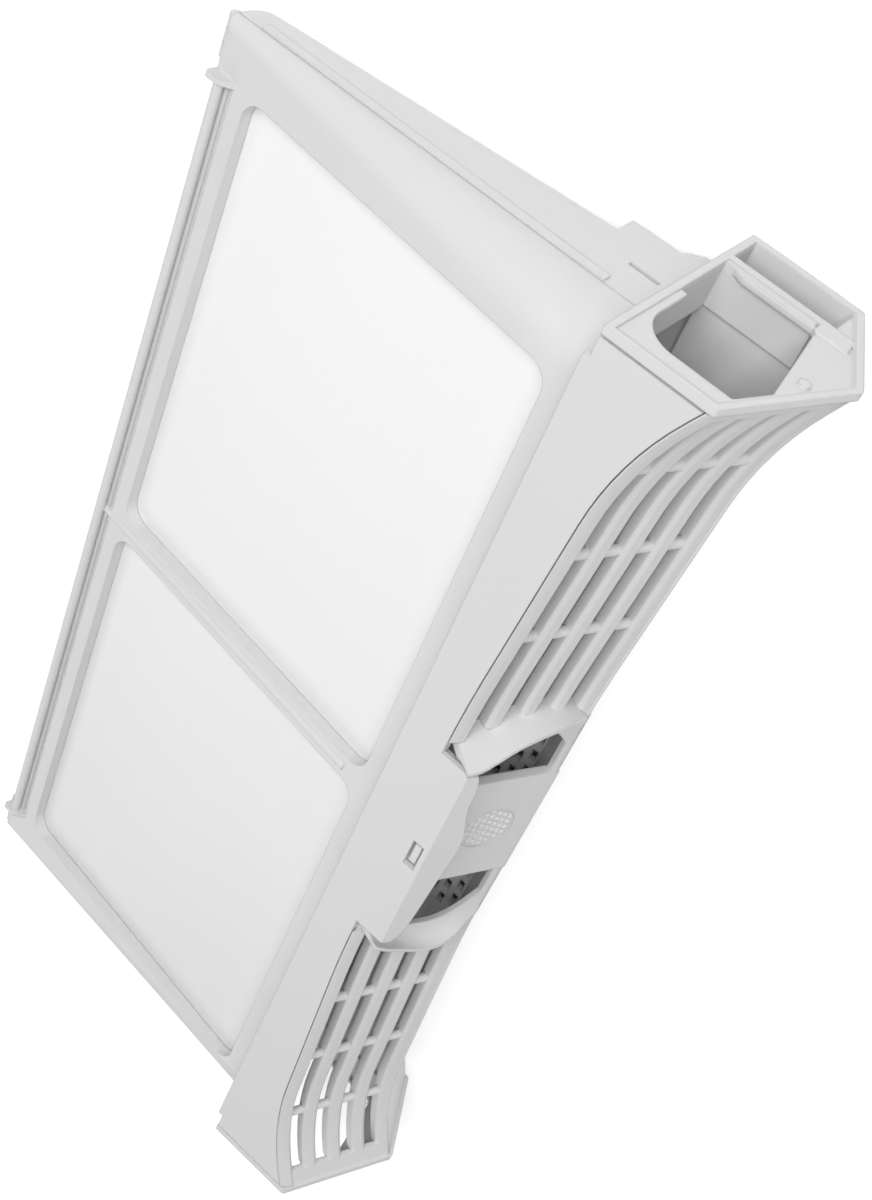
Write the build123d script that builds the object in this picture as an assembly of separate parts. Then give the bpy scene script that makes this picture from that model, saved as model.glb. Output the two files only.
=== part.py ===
from build123d import *
import math
import os

os.makedirs("parts", exist_ok=True)

# A tumble dryer lint filter: a hinged pocket of two mesh walls under a moulded grille cover.
# It is modelled upright, as it hangs in the dryer, and laid on its back at the end.
# X runs along the filter, Y from its front to its back, Z from the pocket up to the grille.
# The ridge where the front leaf turns into its top band lies near Y 0 and Z 0.

# Sizes shared by all mouldings
wall = 2.2
rim_wall = 1.8
seam_gap = 0.4
seam_depth = 29.5

# The house-shaped ends of the cover
cover_length = 400.0
cover_depth = 75.0
apex_depth = 43.5
end_front_height = 35.5
end_apex_height = 54.3
end_back_height = 36.9
flare_rise = 21.5
ridge_rise = 19.3
cap_wall = 2.4
cap_plate = 1.8
cap_recess = 0.8
cap_band = 8.0
skin = 2.6
apex_overlap = 1.2
inner_wall_depth = 57.8
inner_wall = 2.8
sill_height = 2.2

# The duct hole in each end plate
duct_front = 8.5
duct_base = 4.6
duct_front_top = 35.0
duct_peak_depth = 20.5
duct_peak = 40.2
duct_back_depth = 55.0
duct_back_top = 33.0
duct_corner = 12.0
duct_notch_depth = 34.0
rib_top_level = 43.0
rib_front_depth = 54.2
collar_reach = 15.5
collar_step = 1.2
collar_top = 31.7
knob_depth = 31.5
knob_level = 42.9
knob_radius = 1.8

# The slotted front slope of the grille
bar_count = 5
bar_width = 5.6
bar_height = 5.0
bar_crown = 1.1
bar_flat = 0.55
bar_sink = 0.3
bar_end = 3.0
cross_bar_radius = 1.8
cross_bar_first = 94.4
cross_bar_last = 34.8
cross_bars = 3
cross_bar_sink = 1.6

# The small air holes in the inner wall
air_hole_length = 5.0
air_hole_width = 2.2
air_hole_pitch = 8.2
air_hole_side = 9
air_hole_rows = 3
air_hole_row_step = 4.4
air_hole_base = 11.8

# The grip between the two grille halves: raised cheeks, a bridge for the thumb and a finger hole on each side
cheek_rim = 1.8
cheek_start = 2.8
bridge_half = 25.8
bridge_rise = 0.5
bridge_start = 3.0
bridge_skirt = 3.2
apex_strip = 3.6
pad_radius = 9.6
pad_place = 31.5
pad_deep = 0.4

# Each cheek is a scooped wall. At each place up the slope: how far out its foot and its rim are, how high
# its rim is, and how far out and how high its inner edge is.
cheek_steps = [
    (2.8, 50.5, 46.8, 9.4, 45.2, 2.0),
    (13.0, 54.5, 51.5, 9.2, 47.6, 1.6),
    (24.0, 58.3, 57.0, 8.0, 50.0, 1.1),
    (34.0, 59.0, 58.6, 6.4, 49.4, 0.6),
    (40.0, 58.0, 57.4, 4.0, 45.5, 0.2),
    (47.5, 53.5, 52.4, 0.6, 36.0, 0.0),
]

# The front skirt of the cover, behind the band of the leaf, and its latch
skirt_depth = 2.6
skirt_end = 50.0
latch_skirt_half = 42.5
latch_skirt_top = 21.5
latch_half = 4.0
latch_reach = 1.8
latch_play = 0.8

# The pocket: a front leaf and a rear shell
pocket_inset = 10.0
pocket_base = 149.0
ridge_drop = 1.6
leaf_ridge_depth = 6.0
leaf_base_depth = 25.1
leaf_ridge_round = 18.0
leaf_base_round = 3.6
leaf_edge_round = 3.0
shell_top_depth = 63.6
shell_base_depth = 45.0
shell_side_round = 9.0
shell_round_share = 1.29

# The mesh windows of both walls
window_margin = 16.8
window_rib = 8.5
window_drop = 8.5
window_height = 125.0
window_corner = 7.0
window_depth = 4.2
mesh_thickness = 0.7

# The top band of the leaf with its pull flap
band_thickness = 2.0
band_end = 3.4
band_gap = 1.2
ledge_inset = 3.0
flap_half = 44.0
flap_height = 23.6
lip_tilt = 37.0
lip_steps = [
    (-44, 3.2), (-38, 4.9), (-29, 5.4), (-21.5, 6.9), (-14, 8.8), (-5, 9.2),
    (8, 8.1), (20, 7.2), (32, 6.3), (39, 5.0), (44, 2.6),
]
slot_width = 11.5
slot_height = 4.1
slot_base = 17.6

# The bead and ears along the hinge edge of the leaf
bead_radius = 1.6
bead_depth = 22.7
bead_level = -144.0
groove_place = -140.2
groove_width = 1.5
groove_deep = 1.0
rib_proud = 1.0
ear_margin = 17.2
ear_thickness = 1.6

# The hinge at each end: one shell knuckle between two leaf knuckles on a moulded pin
hinge_radius = 2.2
pin_radius = 1.1
pin_clearance = 0.08
knuckle_width = 4.4
knuckle_gap = 0.35
hinge_margin = 7.6
hinge_clearance = 0.4

# Small features of the shell
flange_height = 2.6
flange_reach = 5.0
tab_thickness = 3.6
tab_drop = 27.9
tab_step_level = -6.7
tab_step = 4.3
tab_root = 14.0
seam_bead = 0.8
seam_bead_width = 3.2
seam_bead_top = -16.0
seam_bead_end = -140.0
side_slot_place = 13.7
side_slot_width = 1.6
side_slot_top = -7.0
side_slot_end = -17.0

# How far a cutting shape runs past what it cuts, and how far above the shell's back one starts
overrun = 20.0
shell_cut = 5.0

half = cover_length / 2
pocket_half = half - pocket_inset
band_half = half - band_end
skirt_half = half - skirt_end
window_half = pocket_half - window_margin
ear_half = pocket_half - ear_margin
hinge_centre = pocket_half - hinge_margin
shell_edge_round = shell_round_share * (shell_base_depth - seam_depth)
cross_bar_pitch = (half - cross_bar_last - cross_bar_first) / (cross_bars - 1)
front_mid = end_front_height - flare_rise
apex_mid = end_apex_height - ridge_rise
back_mid = end_back_height - ridge_rise
front_slope = math.degrees(math.atan2(apex_mid - front_mid, apex_depth))
slope_length = math.hypot(apex_mid - front_mid, apex_depth)

# The grille is level in the middle and sweeps up to each end, in straight runs joined by arcs. Each bend has
# a place as a share of the half length, a share of the rise, and a radius as a share of the half length.
flare_bends = [(0.31, 0.0, 3.0), (0.8485, 0.293, 0.595)]


def flare_line(level, rise=flare_rise):
    """The flared line of one half, in the XZ plane, at a given height in the middle."""
    corners = [(0.0, level)] + [(half * a, level + rise * b) for a, b, _ in flare_bends]
    corners += [(half, level + rise)]
    return FilletPolyline(*corners, radius=[half * r for _, _, r in flare_bends])


def flare_lift(x):
    """How far the flared line at the distance x from the middle has risen."""
    line = flare_line(0.0)
    low, high = 0.0, 1.0
    for _ in range(30):
        mid = (low + high) / 2
        if (line @ mid).X < x:
            low = mid
        else:
            high = mid
    return (line @ low).Y


def both_ends(shape):
    """The shape and its mirror image at the other end of the filter."""
    return shape + mirror(shape, about=Plane.YZ)


def flared_band(top, bottom, start=0.0, stop=half, floor=0.0, rise=flare_rise):
    """The face between two flared lines, or between one and the floor, from start to stop."""
    upper = flare_line(top, rise)
    if bottom is None:
        under = Polyline(upper @ 1, (half, floor), (0, floor), upper @ 0)
        face = make_face(upper.edges() + under.edges())
    else:
        lower = flare_line(bottom, rise)
        ends = [Line(upper @ 1, lower @ 1), Line(lower @ 0, upper @ 0)]
        face = make_face(upper.edges() + lower.edges() + ends)
    return face & Rectangle(stop - start, cover_length).moved(Location(((start + stop) / 2, 0, 0)))


def on_side(face, depth):
    """A face drawn in X and Z, stood up in the plane at one depth."""
    return Plane(origin=(0, depth, 0), x_dir=(1, 0, 0), z_dir=(0, -1, 0)) * face


def profile(points, radii=None):
    """A face drawn in Y and Z, seen along the filter, with a radius for each corner if given."""
    outline = FilletPolyline(*points, radius=radii, close=True) if radii else Polyline(*points, close=True)
    return Plane.YZ * make_face(outline)


def along(face, start, stop):
    """A face in the YZ plane, made solid between two places along the filter."""
    return extrude(face.moved(Location((start, 0, 0))), stop - start, dir=(1, 0, 0))


# The slope plane of the grille in the middle: X along the filter, Y up the slope, Z out of it
slope = Plane(
    origin=(0, 0, front_mid),
    x_dir=(1, 0, 0),
    z_dir=(0, -math.sin(math.radians(front_slope)), math.cos(math.radians(front_slope))),
)

# The front leaf's face: its outline across the filter is rounder at the ridge than at the hinge
leaf_angle = math.degrees(math.atan2(leaf_base_depth - leaf_ridge_depth, pocket_base - ridge_drop))
leaf_length = math.hypot(leaf_base_depth - leaf_ridge_depth, pocket_base - ridge_drop)
leaf_plane = Plane(
    origin=(0, leaf_ridge_depth, -ridge_drop),
    x_dir=(1, 0, 0),
    z_dir=(0, -math.cos(math.radians(leaf_angle)), -math.sin(math.radians(leaf_angle))),
)


# The rear shell's back, in the same way
shell_angle = math.degrees(math.atan2(shell_top_depth - shell_base_depth, pocket_base))
shell_plane = Plane(
    origin=(0, shell_top_depth, 0),
    x_dir=(-1, 0, 0),
    z_dir=(0, math.cos(math.radians(shell_angle)), -math.sin(math.radians(shell_angle))),
)


def corner_cone(slope_plane, side, length, near_radius, far_radius):
    """What a corner loses to a rounding that grows evenly along it, between a sloping face and an end face.

    The rounding is a right cone that touches both faces. The corner runs along Y of the slope plane, from
    near_radius at -length to far_radius at 0, where X is side."""
    growth = (far_radius - near_radius) / length
    tip = Vector(-side, -length - near_radius / growth, 0)
    run = length + near_radius / growth + 2 * far_radius
    stretch = math.sqrt(1 + 2 * growth ** 2)
    axis = Vector(growth, 1, -growth) / stretch
    on_face = tip + Vector(growth, 1, 0) * (run * stretch / (1 + growth ** 2))
    on_end = tip + Vector(0, 1, -growth) * (run * stretch / (1 + growth ** 2))
    centre = tip + axis * run
    corner = tip + Vector(0, 1, 0) * (run * stretch)
    outside = centre + (corner - centre) * 1.4
    rims = [on_face, outside, on_end, centre]
    faces = [Face(Wire(Polyline(tip, rims[i], rims[(i + 1) % 4], close=True).edges())) for i in range(4)]
    faces.append(Face(Wire(Polyline(*rims, close=True).edges())))
    wedge = Solid(Shell(faces))
    height = run * 1.01
    base_radius = height * growth / math.sqrt(1 + growth ** 2)
    cone = Cone(0, base_radius, height, align=(Align.CENTER, Align.CENTER, Align.MIN))
    cone = Plane(origin=tip, z_dir=axis) * cone
    return slope_plane * (wedge - cone)


def leaf_block(inset):
    """The solid wedge of the leaf, drawn in by inset on its face, sides and hinge edge."""
    side_view = profile([
        (leaf_base_depth + inset, -pocket_base),
        (seam_depth + overrun, -pocket_base),
        (seam_depth + overrun, overrun),
        (leaf_ridge_depth + inset, overrun),
        (leaf_ridge_depth + inset, -ridge_drop),
    ], [leaf_edge_round, 0, 0, 0, 0])
    block = along(side_view.moved(Location((0, 0, inset))), inset - pocket_half, pocket_half - inset)
    corner = corner_cone(
        leaf_plane * Location((0, 0, -inset)), pocket_half - inset, leaf_length,
        leaf_base_round - inset * 0.6, leaf_ridge_round - inset,
    )
    return block - corner - mirror(corner, about=Plane.YZ)


def shell_block(inset):
    """The solid wedge of the rear shell, with its rounded back corners and hinge edge."""
    side_view = profile([
        (seam_depth - overrun, -pocket_base + inset),
        (shell_base_depth - inset, -pocket_base + inset),
        (shell_top_depth - inset, 0),
        (seam_depth - overrun, 0),
    ], [0, shell_edge_round - inset, 0, 0])
    block = along(side_view, inset - pocket_half, pocket_half - inset)
    radius = shell_side_round - inset
    centre = pocket_half - shell_side_round
    square = slab((centre, pocket_half + 1), (-2 * pocket_base, pocket_base), (-shell_side_round, 1))
    rod = Cylinder(radius, 4 * pocket_base, rotation=(90, 0, 0))
    rod = rod.moved(Location((centre, 0, -shell_side_round)))
    corner = shell_plane * (square - rod)
    return block - corner - mirror(corner, about=Plane.YZ)


def push(face, way):
    """A face made solid along a way given as a vector."""
    way = Vector(*way)
    return extrude(face, way.length, dir=way.normalized())


def slab(x, y, z):
    """A box between pairs of X, Y and Z values."""
    centre = [(a[0] + a[1]) / 2 for a in (x, y, z)]
    return Box(x[1] - x[0], y[1] - y[0], z[1] - z[0]).moved(Location(centre))


def window_face(grow):
    """The two window outlines in the face of a wall, grown by grow on every side."""
    width = window_half - window_rib / 2
    middle = (window_half + window_rib / 2) / 2
    pane = RectangleRounded(width + 2 * grow, window_height + 2 * grow, window_corner + grow)
    drop = -window_drop - window_height / 2
    return [pane.moved(Location((side * middle, drop))) for side in (-1, 1)]


def in_plane(plane, face, level, thickness):
    """A face laid in a plane at one level and made solid downwards."""
    return plane * extrude(face.moved(Location((0, 0, level))), -thickness)


# The front leaf: a shallow tray with two framed windows
front = leaf_block(0) - leaf_block(wall)
front = front & slab((-half, half), (-20, seam_depth - seam_gap / 2), (-pocket_base, -ridge_drop))
for pane, frame in zip(window_face(0), window_face(rim_wall)):
    front += in_plane(leaf_plane, frame, -0.5, window_depth - 0.5)
for pane in window_face(0):
    front -= in_plane(leaf_plane, pane, overrun, 2 * overrun)
front_mesh = [in_plane(leaf_plane, frame, -window_depth, mesh_thickness) for frame in window_face(rim_wall)]

# The bead along the hinge edge, its groove, the rib between the windows and the two ears
groove_sides = (groove_place - groove_width / 2, groove_place + groove_width / 2)
front -= leaf_plane * slab((-ear_half, ear_half), groove_sides, (-groove_deep, overrun))
bead = Cylinder(bead_radius, 2 * ear_half, rotation=(0, 90, 0)).moved(Location((0, bead_depth, bead_level)))
front += bead
rib_top = -window_drop - window_corner
rib_base = (bead_level + ridge_drop) / math.cos(math.radians(leaf_angle))
rib = Cylinder(bead_radius, rib_top - rib_base, rotation=(90, 0, 0)).moved(
    Location((0, (rib_top + rib_base) / 2, rib_proud - bead_radius))
)
front += leaf_plane * rib
ear_outline = profile([
    (bead_depth + 1.5, bead_level + 6.0),
    (bead_depth - 2.2, bead_level + 1.0),
    (bead_depth - 2.0, bead_level - 4.0),
    (bead_depth - 0.6, bead_level - 4.8),
    (bead_depth + 4.5, bead_level - 3.6),
    (bead_depth + 4.0, bead_level + 2.0),
])
front += both_ends(along(ear_outline, ear_half - ear_thickness / 2, ear_half + ear_thickness / 2))

# A ledge carries the top band in front of the face
ledge_top = -seam_gap
ledge_half = pocket_half - ledge_inset
front += slab((-ledge_half, ledge_half), (0, leaf_ridge_depth + wall), (-ridge_drop, ledge_top))

# The top band follows the flare of the grille, and carries the pull flap in the middle
band_top = front_mid - band_gap
band = on_side(flared_band(band_top, None, 0, band_half, -ridge_drop), band_thickness)
band = both_ends(push(band, (0, -band_thickness, 0)))
band -= both_ends(slab((pocket_half, half), (-5, 5), (-10, 0.4)))
front += band
front += slab((-flap_half, flap_half), (0, band_thickness), (0, flap_height))

# The lip of the flap leans back over the grip, with a wavy free edge
lip_plane = Plane(origin=(0, 0, flap_height), x_dir=(1, 0, 0), z_dir=(
    0, -math.sin(math.radians(lip_tilt)), math.cos(math.radians(lip_tilt))
))
lip_edge = Spline(*lip_steps)
lip_root = Polyline(lip_edge @ 1, (flap_half, 0), (-flap_half, 0), lip_edge @ 0)
lip = make_face(Curve() + lip_edge.edges() + lip_root.edges())
front += lip_plane * extrude(lip, -band_thickness)
front -= slab((-slot_width / 2, slot_width / 2), (-3, 5), (slot_base, slot_base + slot_height))

# The hinge: leaf knuckles on a moulded pin
hinge_spot = (seam_depth, -pocket_base)


def barrel(radius, start, stop):
    """A round bar on the hinge line between two places along the filter."""
    return Cylinder(radius, stop - start, rotation=(0, 90, 0)).moved(
        Location(((start + stop) / 2, hinge_spot[0], hinge_spot[1]))
    )


mid_start = hinge_centre - knuckle_width / 2
mid_stop = hinge_centre + knuckle_width / 2
pair_start = mid_start - knuckle_gap - knuckle_width
pair_stop = mid_stop + knuckle_gap + knuckle_width
front -= both_ends(barrel(hinge_radius + hinge_clearance, mid_start - knuckle_gap, mid_stop + knuckle_gap))
leaf_hinge = barrel(hinge_radius, pair_start, mid_start - knuckle_gap)
leaf_hinge += barrel(hinge_radius, mid_stop + knuckle_gap, pair_stop)
leaf_hinge += barrel(pin_radius, pair_start, pair_stop)
front += both_ends(leaf_hinge)

# The rear shell: a deeper tray with two framed windows of its own
back = shell_block(0) - shell_block(wall)
back = back & slab((-half, half), (seam_depth + seam_gap / 2, cover_depth), (-pocket_base, 0))

for frame in window_face(rim_wall):
    back += in_plane(shell_plane, frame, -0.5, window_depth - 0.5)
for pane in window_face(0):
    back -= in_plane(shell_plane, pane, shell_cut, overrun)
back_mesh = [in_plane(shell_plane, frame, -window_depth, mesh_thickness) for frame in window_face(rim_wall)]

# The shell's flange, which carries the cover, the stepped tabs at its back corners and the bead on its seam
flange_half = pocket_half + flange_reach
flange = slab((-flange_half, flange_half), (seam_depth + 2, shell_top_depth), (-flange_height, 0))
back += flange - slab((-pocket_half + 1, pocket_half - 1), (0, shell_top_depth - 1), (-overrun, overrun))
tab = profile([
    (shell_top_depth - tab_root, -tab_drop),
    (shell_top_depth - 1.8, -tab_drop),
    (shell_top_depth - 1.2, tab_step_level - 5),
    (shell_top_depth + 1.3, tab_step_level - 3.6),
    (shell_top_depth + tab_step, tab_step_level),
    (shell_top_depth + tab_step, 0),
    (shell_top_depth - tab_root, 0),
])
back += both_ends(along(tab, pocket_half - tab_thickness, pocket_half))
bead_depths = (seam_depth + seam_gap / 2, seam_depth + seam_bead_width)
bead_bar = slab((pocket_half - 1, pocket_half + seam_bead), bead_depths, (seam_bead_end, seam_bead_top))
back += both_ends(bead_bar)
slot_depths = (seam_depth + side_slot_place, seam_depth + side_slot_place + side_slot_width)
slot_cut = slab((pocket_half - 2 * wall, half), slot_depths, (side_slot_end, side_slot_top))
back -= both_ends(slot_cut)

# The shell's knuckles turn round the leaf's pins, and the leaf's knuckles have room beside them
back -= both_ends(barrel(hinge_radius + hinge_clearance, pair_start - knuckle_gap, pair_stop + knuckle_gap))
shell_knuckle = barrel(hinge_radius, mid_start, mid_stop)
neck_depths = (seam_depth, seam_depth + hinge_radius + 1.5)
neck = slab((mid_start, mid_stop), neck_depths, (-pocket_base, -pocket_base + wall))
shell_knuckle += neck
back += both_ends(shell_knuckle - barrel(pin_radius + pin_clearance, mid_start - 1, mid_stop + 1))

# The grille cover: two house-shaped ends
house = [
    (0, 0),
    (cover_depth, 0),
    (cover_depth, end_back_height),
    (apex_depth, end_apex_height),
    (0, end_front_height),
]
house_face = profile(house, [0.6, 0.8, 1.5, 2.0, 1.2])
house_inside = Plane.YZ * offset(make_face(Polyline(*house, close=True)), -cap_wall)
duct_hole = profile([
    (inner_wall_depth, cap_wall),
    (duct_notch_depth, cap_wall),
    (duct_notch_depth, duct_base),
    (duct_front, duct_base),
    (duct_front, duct_front_top),
    (duct_peak_depth, duct_peak),
    (duct_back_depth, duct_back_top),
    (duct_back_depth, duct_base * 2),
], [0, 0.8, 1.0, duct_corner, 1.0, 1.5, 0.8, 2.0])
chamber_hole = profile([
    (inner_wall_depth + inner_wall, cap_wall),
    (cover_depth - cap_wall, cap_wall),
    (cover_depth - cap_wall, end_back_height - 1.4),
    (inner_wall_depth + inner_wall, end_back_height - 1.4),
], [0.5, 0.5, 0.5, 0.5])
tuck = half - 0.2
cap = along(house_face - house_inside, half - cap_recess - cap_plate, half)
plate = along(house_face, half - cap_recess - cap_plate, half - cap_recess)
plate -= along(duct_hole, half - 20, half + 1) + along(chamber_hole, half - 20, half + 1)
rib_face = profile([
    (rib_front_depth, duct_back_top - 0.6),
    (inner_wall_depth + inner_wall, duct_back_top - 0.6),
    (inner_wall_depth + inner_wall, rib_top_level - 1.4),
    (rib_front_depth + 1.2, rib_top_level),
    (rib_front_depth, rib_top_level),
], [0, 0, 1.2, 0.8, 0.8])
rib_bar = along(rib_face, half - cap_recess - cap_plate, half)
plate_start = half - cap_recess - cap_plate
divider = slab((plate_start, half), (inner_wall_depth, inner_wall_depth + inner_wall), (0, duct_back_top))
knob = Cylinder(knob_radius, cap_recess + cap_plate, rotation=(0, 90, 0)).moved(
    Location((half - (cap_recess + cap_plate) / 2, knob_depth, knob_level))
)
cover = both_ends(cap + plate + rib_bar + divider + knob)

# The sloped skins between the ends: a solid rear slope, and a band of front slope at each end
end_grade = (end_apex_height - end_front_height) / apex_depth
front_start = band_thickness + seam_gap
end_level = front_mid + front_start * end_grade
end_slope = flared_band(end_level, end_level - skin, half - cap_band, tuck)
front_way = (0, apex_depth - front_start, (apex_depth - front_start) * end_grade)
cover += both_ends(push(on_side(end_slope, front_start), front_way))
rear_grade = (back_mid - apex_mid) / (cover_depth - apex_depth)
rear_start = apex_depth - apex_overlap
rear_slope = flared_band(apex_mid, apex_mid - skin, 0, tuck, rise=ridge_rise)
rear_way = (0, cover_depth - rear_start, (cover_depth - rear_start) * rear_grade)
cover += both_ends(push(on_side(rear_slope, rear_start), rear_way))


def rear_level(depth):
    """The height of the middle of the rear slope's skin in the middle of the filter."""
    return apex_mid + rear_grade * (depth - rear_start) - skin / 2


# The back wall, the inner wall with its rows of air holes, and the floor between them
back_wall = flared_band(rear_level(cover_depth), None, 0, tuck, rise=ridge_rise)
cover += both_ends(push(on_side(back_wall, cover_depth), (0, -cap_wall, 0)))
inner_back = inner_wall_depth + inner_wall
inner = flared_band(rear_level(inner_back), None, 0, tuck, rise=ridge_rise)
inner = both_ends(push(on_side(inner, inner_back), (0, -inner_wall, 0)))
for row in range(air_hole_rows):
    level = air_hole_base + row * air_hole_row_step
    offset = air_hole_pitch / 2 * (row % 2)
    for column in range(-air_hole_side, air_hole_side + 1):
        centre = column * air_hole_pitch + offset
        inner -= slab(
            (centre - air_hole_length / 2, centre + air_hole_length / 2),
            (inner_wall_depth - 1, inner_back + 1), (level, level + air_hole_width),
        )
collar_depths = (inner_wall_depth - collar_step, inner_wall_depth + 1)
collar = slab((half - collar_reach, tuck), collar_depths, (0, collar_top))
cover += inner + both_ends(collar)
cover += slab((-tuck, tuck), (inner_wall_depth, cover_depth - 0.2), (0, sill_height))

# The sill: a flat ring that sits on the shell's flange
sill = slab((-tuck, tuck), (skirt_depth, cover_depth - 1), (0, sill_height))
sill -= slab((-pocket_half + 6, pocket_half - 6), (skirt_depth + 5, inner_wall_depth + 1), (-5, 10))
cover += sill

# The front skirt closes the mouth of the pocket behind the band of the leaf
skirt = on_side(flared_band(front_mid - 1.5, None, 0, skirt_half), skirt_depth + band_thickness)
cover += both_ends(push(skirt, (0, -band_thickness, 0)))
skirt_depths = (skirt_depth, skirt_depth + band_thickness)
cover += slab((-latch_skirt_half, latch_skirt_half), skirt_depths, (0, latch_skirt_top))
nose_levels = (slot_base + latch_play, slot_base + slot_height - latch_play)
cover += slab((-latch_half, latch_half), (skirt_depth - latch_reach, skirt_depth + 0.5), nose_levels)

# The bars of the grille, each swept along the flare, and the short cross bars under their tops
bar_step = (slope_length - bar_width) / (bar_count - 1)
bar_places = [bar_width / 2 + i * bar_step for i in range(bar_count)]
lean_y = math.cos(math.radians(front_slope))
lean_z = math.sin(math.radians(front_slope))


def along_flare(section, level, depth, start, stop):
    """A section, drawn in Y and Z with its top at 0, carried along the flare and cut off at both ends."""
    rise = flare_rise + (ridge_rise - flare_rise) * depth / apex_depth
    path = Plane(origin=(0, depth, 0), x_dir=(1, 0, 0), z_dir=(0, -1, 0)) * flare_line(level, rise)
    bar = sweep(Plane(origin=path @ 0, x_dir=(0, 1, 0), z_dir=(1, 0, 0)) * make_face(section), path=path)
    return bar & slab((start, stop), (-cover_depth, 2 * cover_depth), (-cover_depth, 2 * cover_depth))


def grille_bar(place, start):
    """One bar of one half of the grille, at a place up the slope, from start to the end plate."""
    side = bar_width / 2
    flat = side * bar_flat
    outline = Polyline(
        (side, -bar_crown), (flat, 0), (-flat, 0), (-side, -bar_crown),
        (-side, -bar_height), (side, -bar_height), close=True,
    )
    section = Curve() + [edge.rotate(Axis.Z, front_slope) for edge in outline.edges()]
    level = front_mid - bar_sink + place * lean_z
    return along_flare(section, level, place * lean_y, start, half - cap_band + 2)


def cross_bar(x):
    """One cross bar over the whole slope at the distance x from the middle."""
    low = bar_places[0]
    high = bar_places[-1]
    level = -cross_bar_sink - cross_bar_radius
    rod = Cylinder(cross_bar_radius, high - low, rotation=(90, 0, 0))
    rod -= slab((-5, 5), (-slope_length, slope_length), (-5, -cross_bar_radius * 0.5))
    return (slope * Location((x, (low + high) / 2, level)) * rod).moved(Location((0, 0, flare_lift(x))))


def first_bar(start):
    """The lowest bar, whose front is rebated over the band of the leaf."""
    rise = bar_width * lean_z
    reach = bar_width * lean_y
    rebate = seam_gap - band_gap + bar_sink
    outline = Polyline(
        (0, 0), (reach * 0.3, rise * 0.5), (reach * 0.75, rise), (reach + 0.6, rise - bar_crown),
        (reach + 2, rise - bar_height), (front_start, rise - bar_height),
        (front_start, rebate), (0, rebate), close=True,
    )
    return along_flare(Curve() + outline.edges(), front_mid - bar_sink, 0, start, half - bar_end)


def cheek_foot(place):
    """How far out the foot of a cheek is at a place up the slope."""
    for low, high in zip(cheek_steps, cheek_steps[1:]):
        if place <= high[0]:
            return low[1] + (high[1] - low[1]) * (place - low[0]) / (high[0] - low[0])
    return cheek_steps[-1][1]


for place in bar_places[1:]:
    cover += both_ends(grille_bar(place, cheek_foot(place) - 1.0))
cover += both_ends(first_bar(cheek_foot(0) + 0.5))
for i in range(cross_bars):
    cover += both_ends(cross_bar(cross_bar_first + i * cross_bar_pitch))


def cheek_section(place, foot, rim, rim_level, edge, edge_level):
    """The cut through a cheek at a place up the slope: a thin rim that runs down into a scoop."""
    inner_rim = rim - cheek_rim
    middle = ((inner_rim + edge) / 2 + 0.8, edge_level + (rim_level - edge_level) * 0.3)
    scoop = ThreePointArc((inner_rim, rim_level), middle, (edge, edge_level))
    outline = Polyline(
        (edge, edge_level), (edge + 0.6, edge_level - wall), (foot - 2.2, -bar_height),
        (foot, -bar_height), (rim, rim_level), (inner_rim, rim_level),
    )
    stand = Plane(origin=(0, place, 0), x_dir=(1, 0, 0), z_dir=(0, -1, 0))
    return slope * (stand * make_face(Curve() + [scoop] + outline.edges()))


cheek = loft([cheek_section(*step) for step in cheek_steps])
cover += both_ends(cheek)

# The strip along the ridge that closes the grip, and the bridge with its sunk thumb pad
strip_half = cheek_foot(slope_length)
ridge_strip = slab((-strip_half, strip_half), (slope_length - apex_strip, slope_length), (-wall, 0))
bridge = slab((-bridge_half, bridge_half), (bridge_start, slope_length), (bridge_rise - wall, bridge_rise))
skirt_levels = (bridge_rise - bridge_skirt, bridge_rise)
skirt_bar = slab((bridge_half - rim_wall, bridge_half), (bridge_start, slope_length), skirt_levels)
bridge += both_ends(skirt_bar)
pad = Cylinder(pad_radius, pad_deep * 2).moved(Location((0, pad_place, bridge_rise)))
cover += slope * (ridge_strip + bridge - pad)

nodes = {
    "front_leaf": front,
    "front_mesh_near": front_mesh[0],
    "front_mesh_far": front_mesh[1],
    "rear_shell": back,
    "rear_mesh_near": back_mesh[1],
    "rear_mesh_far": back_mesh[0],
    "grille_cover": cover,
}

# The filter is laid on its back. It rests on the cover's lower back edge and on the shell's hinge edge.
lean = math.atan2(shell_top_depth - shell_base_depth, pocket_base)
round_depth = shell_base_depth + shell_edge_round * (math.tan(lean) - 1 / math.cos(lean))
round_level = -pocket_base + shell_edge_round
reach = math.hypot(round_depth - cover_depth, round_level)
rest_tilt = -math.asin(shell_edge_round / reach) - math.atan2(round_depth - cover_depth, -round_level)
rest_height = cover_depth * math.cos(rest_tilt)
turned = Rotation(math.degrees(rest_tilt) - 90, 0, 0)
whole = Compound([turned * shape for shape in nodes.values()])
box = whole.bounding_box()
laid = Location((0, -(box.min.Y + box.max.Y) / 2, rest_height)) * turned

for name, shape in nodes.items():
    export_step(laid * shape, f"parts/{name}.step")
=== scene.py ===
import math

import bpy
from mathutils import Matrix, Vector


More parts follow.
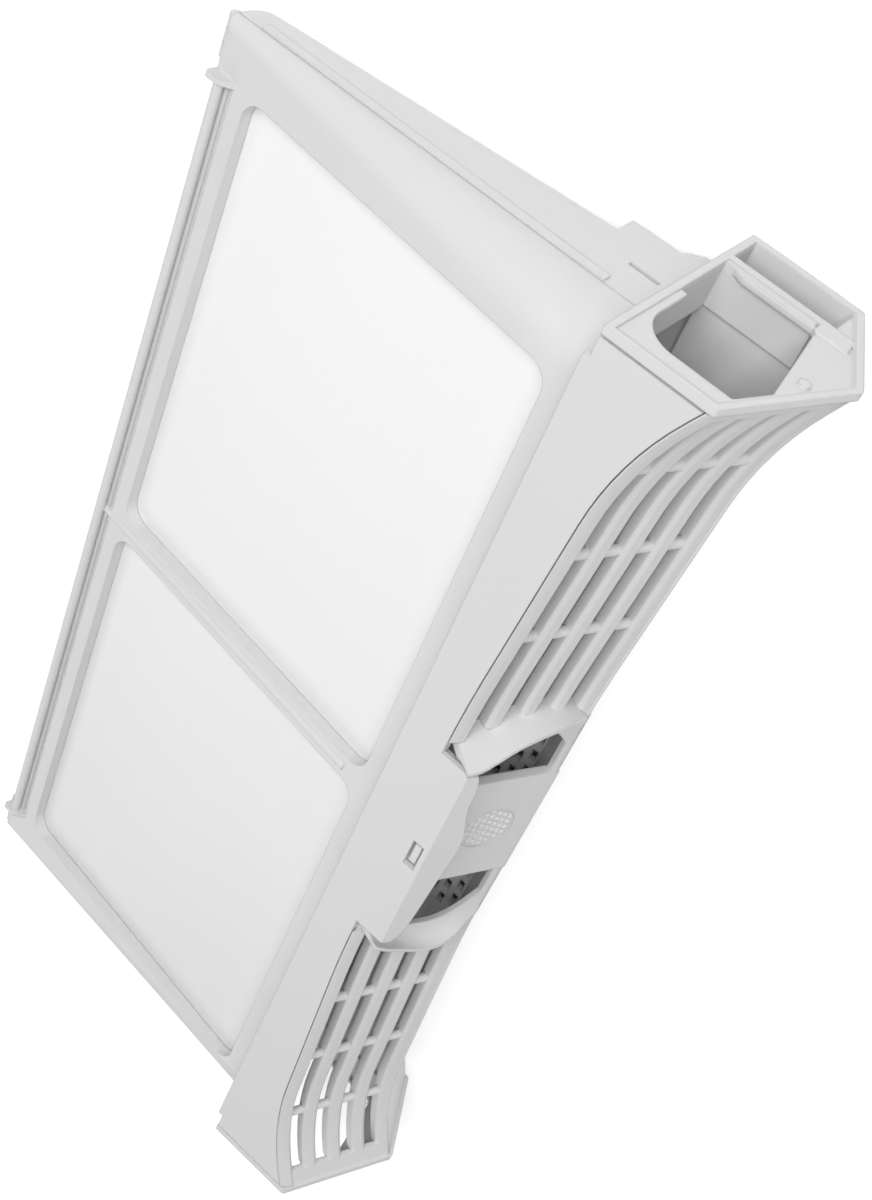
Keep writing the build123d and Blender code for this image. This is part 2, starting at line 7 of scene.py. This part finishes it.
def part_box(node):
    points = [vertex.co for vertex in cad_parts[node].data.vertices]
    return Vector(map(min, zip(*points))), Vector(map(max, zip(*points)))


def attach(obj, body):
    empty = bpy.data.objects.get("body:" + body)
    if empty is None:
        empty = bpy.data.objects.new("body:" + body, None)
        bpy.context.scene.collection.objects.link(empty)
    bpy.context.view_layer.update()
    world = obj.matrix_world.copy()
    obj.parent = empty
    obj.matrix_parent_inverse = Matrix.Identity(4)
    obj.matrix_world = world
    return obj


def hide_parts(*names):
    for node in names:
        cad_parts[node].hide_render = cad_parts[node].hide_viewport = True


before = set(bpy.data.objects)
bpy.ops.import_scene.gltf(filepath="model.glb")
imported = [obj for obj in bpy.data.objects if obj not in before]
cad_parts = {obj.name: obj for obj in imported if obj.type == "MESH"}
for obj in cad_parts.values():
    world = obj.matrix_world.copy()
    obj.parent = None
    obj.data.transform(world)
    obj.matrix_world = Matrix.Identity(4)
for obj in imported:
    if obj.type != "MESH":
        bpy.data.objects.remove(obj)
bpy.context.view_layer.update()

bpy.ops.object.select_all(action="DESELECT")

# The view: the filter lies on its back and is seen from above its near end, by a slightly long lens that is
# turned over on its side. The lens's place and its three directions are in the filter's own frame, in metres.
lens_place = Vector((-0.469392, 0.098943, 0.478129))
lens_right = Vector((-0.285076, 0.841752, -0.458460))
lens_up = Vector((-0.678431, -0.515081, -0.523854))
lens_back = Vector((-0.677099, 0.161695, 0.717908))
camera_data = bpy.data.cameras.new("studio_camera")
camera_data.sensor_width = 36.0
camera_data.lens = 59.54
camera_data.shift_x = 0.0633
camera_data.shift_y = -0.0249
camera = bpy.data.objects.new("studio_camera", camera_data)
bpy.context.scene.collection.objects.link(camera)
lens_turn = Matrix((lens_right, lens_up, lens_back)).transposed().to_4x4()
camera.matrix_world = Matrix.Translation(lens_place) @ lens_turn
bpy.context.scene.camera = camera


# The studio: a white paper floor that fades into a white surround, a large soft box above the near end, a
# weak one low beyond the hinge and a small one over the grille. The paper is white and keeps the shadow.
def linear(code):
    """A colour written as sRGB hex, as the linear red, green, blue and alpha that the shaders take."""
    parts = [int(code[i:i + 2], 16) / 255 for i in (1, 3, 5)]
    return tuple(c / 12.92 if c <= 0.04045 else ((c + 0.055) / 1.055) ** 2.4 for c in parts) + (1.0,)


def put(tree, kind, settings=None, links=None):
    """Adds a node: settings are its inputs or properties and links are its inputs, by name or by number."""
    node = tree.nodes.new(kind)
    for name, value in (settings or {}).items():
        if isinstance(name, int) or name in node.inputs:
            node.inputs[name].default_value = value
        else:
            setattr(node, name, value)
    for name, source in (links or {}).items():
        tree.links.new(source, node.inputs[name])
    return node


def lens_sees(tree):
    """1 for what the lens sees, straight, in gloss or through a clear thing, and 0 for other rays."""
    path = put(tree, "ShaderNodeLightPath")
    two = put(tree, "ShaderNodeMath", {"operation": "MAXIMUM"}, {
        0: path.outputs["Is Camera Ray"], 1: path.outputs["Is Glossy Ray"],
    })
    return put(tree, "ShaderNodeMath", {"operation": "MAXIMUM"}, {
        0: two.outputs[0], 1: path.outputs["Is Transmission Ray"],
    }).outputs[0]


paper_size = 6.0
bpy.ops.mesh.primitive_grid_add(x_subdivisions=8, y_subdivisions=8, size=paper_size)
paper_floor = bpy.context.object
paper_floor.name = "paper_floor"
white_paper = bpy.data.materials.new("white_paper")
white_paper.use_nodes = True
tree = white_paper.node_tree
tree.nodes.clear()
paper_face = put(tree, "ShaderNodeBsdfDiffuse", {"Color": linear("#F2F2F2")})
# Away from the filter the lamps fade, so the lift that keeps the paper white grows from 0.4 m to 1.4 m out.
fade_start = 0.4
fade_end = 1.4
least_lift = 0.42
away = put(tree, "ShaderNodeVectorMath", {"operation": "LENGTH"}, {
    0: put(tree, "ShaderNodeTexCoord").outputs["Object"],
}).outputs["Value"]
lift = put(tree, "ShaderNodeMapRange", {
    "From Min": fade_start, "From Max": fade_end, "To Min": least_lift, "To Max": 1.0,
}, {"Value": away}).outputs[0]
paper_lift = put(tree, "ShaderNodeEmission", {"Color": linear("#FFFFFF")}, {"Strength": put(
    tree, "ShaderNodeMath", {"operation": "MULTIPLY"}, {0: lens_sees(tree), 1: lift}
).outputs[0]})
paper_mix = put(tree, "ShaderNodeAddShader", None, {0: paper_face.outputs[0], 1: paper_lift.outputs[0]})
put(tree, "ShaderNodeOutputMaterial", None, {"Surface": paper_mix.outputs[0]})
paper_floor.data.materials.append(white_paper)

world = bpy.data.worlds.new("white_surround")
bpy.context.scene.world = world
world.use_nodes = True
tree = world.node_tree
tree.nodes.clear()
surround_light = 0.26
surround_level = put(tree, "ShaderNodeMapRange", {"To Min": surround_light, "To Max": 1.0}, {
    "Value": lens_sees(tree),
})
surround = put(tree, "ShaderNodeBackground", {"Color": linear("#FFFFFF")}, {
    "Strength": surround_level.outputs[0],
})
put(tree, "ShaderNodeOutputWorld", None, {"Surface": surround.outputs[0]})


def soft_box(name, place, aim, size, power):
    """A square soft box at a place, turned towards the point it lights."""
    lamp = bpy.data.lights.new(name, "AREA")
    lamp.size = size
    lamp.energy = power
    box = bpy.data.objects.new(name, lamp)
    bpy.context.scene.collection.objects.link(box)
    box.location = place
    box.rotation_mode = "QUATERNION"
    box.rotation_quaternion = (Vector(aim) - Vector(place)).to_track_quat("-Z", "Y")


filter_middle = (0, 0.02, 0.04)
grille_middle = (0, 0.06, 0.04)
soft_box("near_end_soft_box", (-1.09, 0.02, 1.34), filter_middle, 1.1, 20.5)
soft_box("hinge_soft_box", (1.10, -0.97, 0.84), filter_middle, 1.1, 5.0)
soft_box("grille_soft_box", (-0.25, 0.95, 1.45), grille_middle, 0.3, 3.0)

bpy.context.scene.view_settings.view_transform = "Standard"


# The three mouldings: the front leaf, the rear shell and the grille cover. They are injection moulded in a
# pale grey ABS with a fine spark-eroded face, which gives a soft satin sheen, and their edges are rounded.
flow_width = 0.06
grain_width = 0.0005
grain_depth = 0.00006


def moulded_plastic(name, colour, shade, edge_radius):
    """Satin ABS as it comes out of the mould, with faint flow marks, a fine grain and rounded edges."""
    plastic = bpy.data.materials.new(name)
    plastic.use_nodes = True
    tree = plastic.node_tree
    tree.nodes.clear()
    place = put(tree, "ShaderNodeTexCoord").outputs["Object"]
    # Guessed: flow marks about 60 mm across, and a grain of about 0.05 mm, drawn 0.5 mm wide so it shows.
    flow = put(tree, "ShaderNodeTexNoise", {"Scale": 1 / flow_width, "Detail": 3.0, "Roughness": 0.5}, {
        "Vector": place,
    })
    grain = put(tree, "ShaderNodeTexNoise", {"Scale": 1 / grain_width, "Detail": 2.0}, {"Vector": place})
    tone = put(tree, "ShaderNodeMix", {"data_type": "RGBA"}, {"Factor": flow.outputs["Fac"]})
    tone.inputs["A"].default_value = linear(colour)
    tone.inputs["B"].default_value = linear(shade)
    gloss = put(tree, "ShaderNodeMapRange", {"To Min": 0.36, "To Max": 0.5}, {"Value": flow.outputs["Fac"]})
    edge = put(tree, "ShaderNodeBevel", {"Radius": edge_radius, "samples": 6})
    relief = put(tree, "ShaderNodeBump", {"Strength": 0.12, "Distance": grain_depth}, {
        "Height": grain.outputs["Fac"], "Normal": edge.outputs[0],
    })
    face = put(tree, "ShaderNodeBsdfPrincipled", {"IOR": 1.52}, {
        "Base Color": tone.outputs["Result"], "Roughness": gloss.outputs[0], "Normal": relief.outputs[0],
    })
    put(tree, "ShaderNodeOutputMaterial", None, {"Surface": face.outputs[0]})
    return plastic


# The edges of the pocket are drawn rounded by 0.5 mm, and those of the cover by 0.9 mm.
pocket_abs = moulded_plastic("pocket_satin_abs", "#DCDCDC", "#D8D8D8", 0.0005)
cover_abs = moulded_plastic("cover_satin_abs", "#DCDCDC", "#D8D8D8", 0.0009)
mouldings = {"front_leaf": pocket_abs, "rear_shell": pocket_abs, "grille_cover": cover_abs}
for name, plastic in mouldings.items():
    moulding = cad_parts[name]
    moulding.data.materials.clear()
    moulding.data.materials.append(plastic)

# The thumb pad of the bridge: small raised dots in staggered rows in the sunk round, moulded with the cover,
# that keep a wet thumb from slipping. They are the same satin ABS, drawn a little paler.
dot_radius = 0.0010
dot_flatness = 0.55
dot_pitch = 0.0028
dot_reach = 4
dotted_radius = 0.0090
pad_centre = Vector((0.0, 0.07298, 0.05140))
slope_up = Vector((0.0, 0.6113, -0.7914))
slope_out = Vector((0.0, 0.7914, 0.6113))
first_dot = None
dots = []
for row in range(-dot_reach, dot_reach + 1):
    for column in range(-dot_reach, dot_reach + 1):
        along_x = (column + 0.5 * (row % 2)) * dot_pitch
        along_slope = row * dot_pitch * math.sqrt(3) / 2
        if math.hypot(along_x, along_slope) > dotted_radius:
            continue
        spot = pad_centre + Vector((along_x, 0.0, 0.0)) + slope_up * along_slope
        if first_dot is None:
            bpy.ops.mesh.primitive_uv_sphere_add(segments=12, ring_count=8, radius=dot_radius)
            first_dot = dot = bpy.context.object
            dot.scale = (1.0, 1.0, dot_flatness)
            bpy.ops.object.transform_apply(location=False, rotation=False, scale=True)
            bpy.ops.object.shade_smooth()
            pattern = dot.data.copy()
        else:
            dot = bpy.data.objects.new("thumb_dot", pattern.copy())
            bpy.context.scene.collection.objects.link(dot)
        dot.rotation_mode = "QUATERNION"
        dot.rotation_quaternion = slope_out.to_track_quat("Z", "Y")
        dot.location = spot
        dots.append(dot)
bpy.ops.object.select_all(action="DESELECT")
for dot in dots:
    dot.select_set(True)
bpy.context.view_layer.objects.active = first_dot
bpy.ops.object.join()
thumb_dots = bpy.context.object
thumb_dots.name = "thumb_dots"
bpy.ops.object.transform_apply(location=True, rotation=True, scale=True)
bpy.ops.object.select_all(action="DESELECT")
thumb_dots.data.materials.append(moulded_plastic("thumb_dot_abs", "#E2E2E2", "#DCDCDC", 0.0001))
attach(thumb_dots, "housing")

# The four filter cloths: a fine mesh of white polyester thread, stretched and moulded into the windows. The
# cloth is whiter than the mouldings round it, and a little light passes through it. Its sheet reaches 1.8 mm
# past the window, so the window's 7 mm corner becomes one of 8.8 mm.
cloth_pitch = 0.0006
thread_depth = 0.00006
cloth_thickness = 0.0003
cloth_corner = 0.0088
cloth_crown = 0.0006
cloth_columns = 16
cloth_rows = 12
sheet_thickness = 0.0007
cloud_width = 0.09
cloud_shift = 0.06
# The way, start and end of the painted shade that darkens the cloths towards the grille and the far end.
painted_shade_way = (0.75, 0.65, 0.0)
painted_shade_start = -0.13
painted_shade_end = 0.16
light_through = 0.08


def filter_cloth(name, tilt, lit_colour, shaded_colour):
    """Plain-woven polyester thread with painted shade, on a window that is tilted about the X axis by tilt
    radians.
    """
    cloth = bpy.data.materials.new(name)
    cloth.use_nodes = True
    tree = cloth.node_tree
    tree.nodes.clear()
    place = put(tree, "ShaderNodeMapping", {"Rotation": (-tilt, 0, 0)}, {
        "Vector": put(tree, "ShaderNodeTexCoord").outputs["Object"],
    }).outputs[0]
    # The real threads are guessed to be about 0.15 mm apart. They are drawn 0.6 mm apart, so that they show.
    # A wave texture at a scale of 1 has one band in each 2 pi / 20 of a metre.
    threads = [put(tree, "ShaderNodeTexWave", {
        "wave_type": "BANDS", "bands_direction": way, "Scale": 2 * math.pi / (cloth_pitch * 20),
    }, {"Vector": place}).outputs["Fac"] for way in ("X", "Y")]
    weave = put(tree, "ShaderNodeMath", {"operation": "MAXIMUM"}, {0: threads[0], 1: threads[1]}).outputs[0]
    solid = put(tree, "ShaderNodeMapRange", {
        "From Min": 0.1, "From Max": 0.6, "To Min": 0.97, "To Max": 1.0,
    }, {"Value": weave}).outputs[0]
    relief = put(tree, "ShaderNodeBump", {"Strength": 0.15, "Distance": thread_depth}, {
        "Height": weave,
    }).outputs[0]
    # Painted shade: the cloth is drawn darker towards the grille and the far end, in place of the lamps'
    # light falling off there. Broad random clouds of tone, about 90 mm across and a guess, blur the edge of
    # this shade.
    haze = put(tree, "ShaderNodeTexNoise", {"Scale": 1 / cloud_width, "Detail": 1.0}, {
        "Vector": place,
    }).outputs["Fac"]
    onward = put(tree, "ShaderNodeVectorMath", {"operation": "DOT_PRODUCT", 1: painted_shade_way}, {0: place})
    shade_and_clouds = put(tree, "ShaderNodeMath", {"operation": "MULTIPLY_ADD", 1: cloud_shift}, {
        0: haze, 2: onward.outputs["Value"],
    })
    painted_shade = put(tree, "ShaderNodeMapRange", {"From Min": painted_shade_start, "From Max": painted_shade_end}, {
        "Value": shade_and_clouds.outputs[0],
    })
    tone = put(tree, "ShaderNodeMix", {"data_type": "RGBA"}, {"Factor": painted_shade.outputs[0]})
    tone.inputs["A"].default_value = linear(lit_colour)
    tone.inputs["B"].default_value = linear(shaded_colour)
    thread = put(tree, "ShaderNodeBsdfPrincipled", {
        "Roughness": 0.42, "IOR": 1.57, "Specular IOR Level": 1.0, "Sheen Weight": 0.8,
    }, {
        "Base Color": tone.outputs["Result"], "Normal": relief,
    })
    glow = put(tree, "ShaderNodeBsdfTranslucent", {"Color": linear("#FBFBFB")})
    body = put(tree, "ShaderNodeMixShader", {"Fac": light_through}, {
        1: thread.outputs[0], 2: glow.outputs[0],
    })
    gap = put(tree, "ShaderNodeBsdfTransparent")
    woven = put(tree, "ShaderNodeMixShader", None, {"Fac": solid, 1: gap.outputs[0], 2: body.outputs[0]})
    put(tree, "ShaderNodeOutputMaterial", None, {"Surface": woven.outputs[0]})
    return cloth


def window_cloth(node, body, crown):
    """The cloth of one window, in place of its CAD sheet, with its middle crown out of the plane."""
    low_corner, high_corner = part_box(node)
    size = high_corner - low_corner
    # The box also holds the sheet's own thickness, so the tilt is found in a few rounds.
    tilt = math.atan2(size.z, size.y)
    for _ in range(4):
        rise = size.z - sheet_thickness * math.cos(tilt)
        tilt = math.atan2(rise, size.y - sheet_thickness * math.sin(tilt))
    height = (size.y - sheet_thickness * math.sin(tilt)) / math.cos(tilt)
    bpy.ops.mesh.primitive_plane_add(size=1.0)
    cloth = bpy.context.object
    cloth.name = node + "_cloth"
    cloth.scale = (size.x, height, 1.0)
    bpy.ops.object.transform_apply(location=False, rotation=False, scale=True)
    bpy.ops.object.mode_set(mode="EDIT")
    bpy.ops.mesh.select_all(action="SELECT")
    bpy.ops.mesh.bevel(offset=cloth_corner, segments=6, affect="VERTICES")
    cuts = ((cloth_columns, size.x, Vector((1, 0, 0))), (cloth_rows, height, Vector((0, 1, 0))))
    for count, span, way in cuts:
        for i in range(1, count):
            bpy.ops.mesh.select_all(action="SELECT")
            bpy.ops.mesh.bisect(plane_co=way * span * (i / count - 0.5), plane_no=way)
    bpy.ops.object.mode_set(mode="OBJECT")
    for corner in cloth.data.vertices:
        inside = (1 - (2 * corner.co.x / size.x) ** 2) * (1 - (2 * corner.co.y / height) ** 2)
        corner.co.z += crown * inside
    thicken = cloth.modifiers.new("thickness", "SOLIDIFY")
    thicken.thickness = cloth_thickness
    thicken.offset = 0.0
    bpy.ops.object.modifier_apply(modifier=thicken.name)
    bpy.ops.object.shade_smooth_by_angle(angle=math.radians(40))
    cloth.rotation_euler = (tilt, 0.0, 0.0)
    cloth.location = (low_corner + high_corner) / 2
    bpy.ops.object.transform_apply(location=True, rotation=True, scale=True)
    # The cloth is white where lit and #E6E6E6 where the painted shade darkens it.
    cloth.data.materials.append(filter_cloth(node + "_polyester", tilt, "#FFFFFF", "#E6E6E6"))
    bpy.ops.object.select_all(action="DESELECT")
    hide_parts(node)
    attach(cloth, body)


for end in ("near", "far"):
    window_cloth("front_mesh_" + end, "leaf", cloth_crown)
    window_cloth("rear_mesh_" + end, "housing", -cloth_crown)
